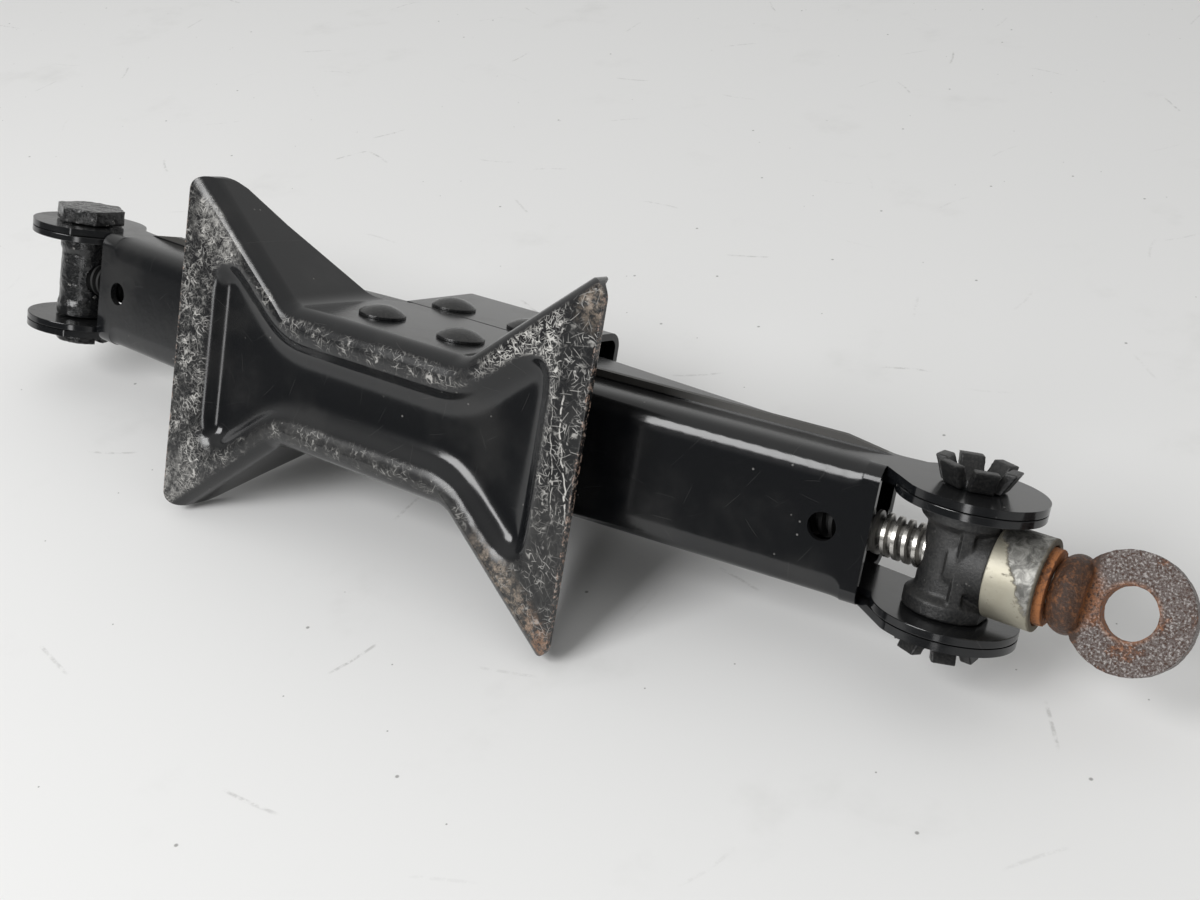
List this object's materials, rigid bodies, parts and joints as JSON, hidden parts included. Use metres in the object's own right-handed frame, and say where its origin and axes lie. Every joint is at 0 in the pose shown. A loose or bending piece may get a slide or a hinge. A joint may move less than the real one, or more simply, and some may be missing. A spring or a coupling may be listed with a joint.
{
  "type": "scissor jack",
  "caption": "Screw-driven scissor jack: channel arms on a pressed hourglass base lift a grooved saddle when the eye-ended screw is turned.",
  "frame": {"origin": "on the base's underside, midway between the two base pivots and midway between the side flanges", "axes": "+Z is the lift direction, +X runs along the screw towards its eye, +Y completes a right-handed frame"},
  "size_m": [0.4221, 0.1082, 0.092],
  "materials": {
    "black_paint": "gloss",
    "bare_screw": "greased",
    "plated_cup": "worn plating",
    "rusty_steel": "rusted"
  },
  "bodies": {
    "base": {"base_plate": "black_paint", "base_rivet_left": "black_paint", "base_rivet_right": "black_paint"},
    "lower_left": {"lower_arm_left": "black_paint"},
    "lower_right": {"lower_arm_right": "black_paint"},
    "nut": {"nut_trunnion": "black_paint"},
    "thrust": {"thrust_trunnion": "black_paint"},
    "upper_left": {"upper_arm_left": "black_paint"},
    "upper_right": {"upper_arm_right": "black_paint"},
    "saddle": {"saddle": "black_paint", "saddle_rivet_left": "black_paint", "saddle_rivet_right": "black_paint", "saddle_spacer_left_front": "black_paint", "saddle_spacer_left_back": "black_paint", "saddle_spacer_right_front": "black_paint", "saddle_spacer_right_back": "black_paint"},
    "drive": {"lift_screw": "bare_screw", "thrust_cup": "plated_cup", "thrust_race": "bare_screw", "thrust_washer": "rusty_steel", "eye_end": "rusty_steel"}
  },
  "joints": [
    {"name": "lift", "type": "hinge", "parent": "base", "child": "lower_left", "pos_m": [-0.0152, 0, 0.0225], "axis": [0, 1, 0], "range_deg": [0, 58]},
    {"name": "lower_right_pivot", "type": "hinge", "parent": "base", "child": "lower_right", "pos_m": [0.0152, 0, 0.0225], "axis": [0, -1, 0], "range_deg": [0, 58]},
    {"name": "nut_level", "type": "hinge", "parent": "lower_left", "child": "nut", "pos_m": [-0.17036, 0, 0.0405], "axis": [0, -1, 0], "range_deg": [0, 58]},
    {"name": "upper_left_pivot", "type": "hinge", "parent": "lower_left", "child": "upper_left", "pos_m": [-0.17036, 0, 0.0405], "axis": [0, -1, 0], "range_deg": [0, 116]},
    {"name": "saddle_level", "type": "hinge", "parent": "upper_left", "child": "saddle", "pos_m": [-0.0152, 0, 0.0585], "axis": [0, 1, 0], "range_deg": [0, 58]},
    {"name": "thrust_level", "type": "hinge", "parent": "lower_right", "child": "thrust", "pos_m": [0.17036, 0, 0.0405], "axis": [0, 1, 0], "range_deg": [0, 58]},
    {"name": "upper_right_pivot", "type": "hinge", "parent": "lower_right", "child": "upper_right", "pos_m": [0.17036, 0, 0.0405], "axis": [0, 1, 0], "range_deg": [0, 116]},
    {"name": "screw_turn", "type": "hinge", "parent": "thrust", "child": "drive", "pos_m": [0.17036, 0, 0.0405], "axis": [1, 0, 0], "continuous": true}
  ],
  "couplings": [
    {"joint": "lower_right_pivot", "follows": "lift", "ratio": 1},
    {"joint": "nut_level", "follows": "lift", "ratio": 1},
    {"joint": "upper_left_pivot", "follows": "lift", "ratio": 2},
    {"joint": "saddle_level", "follows": "lift", "ratio": 1},
    {"joint": "thrust_level", "follows": "lift", "ratio": 1},
    {"joint": "upper_right_pivot", "follows": "lift", "ratio": 2}
  ]
}
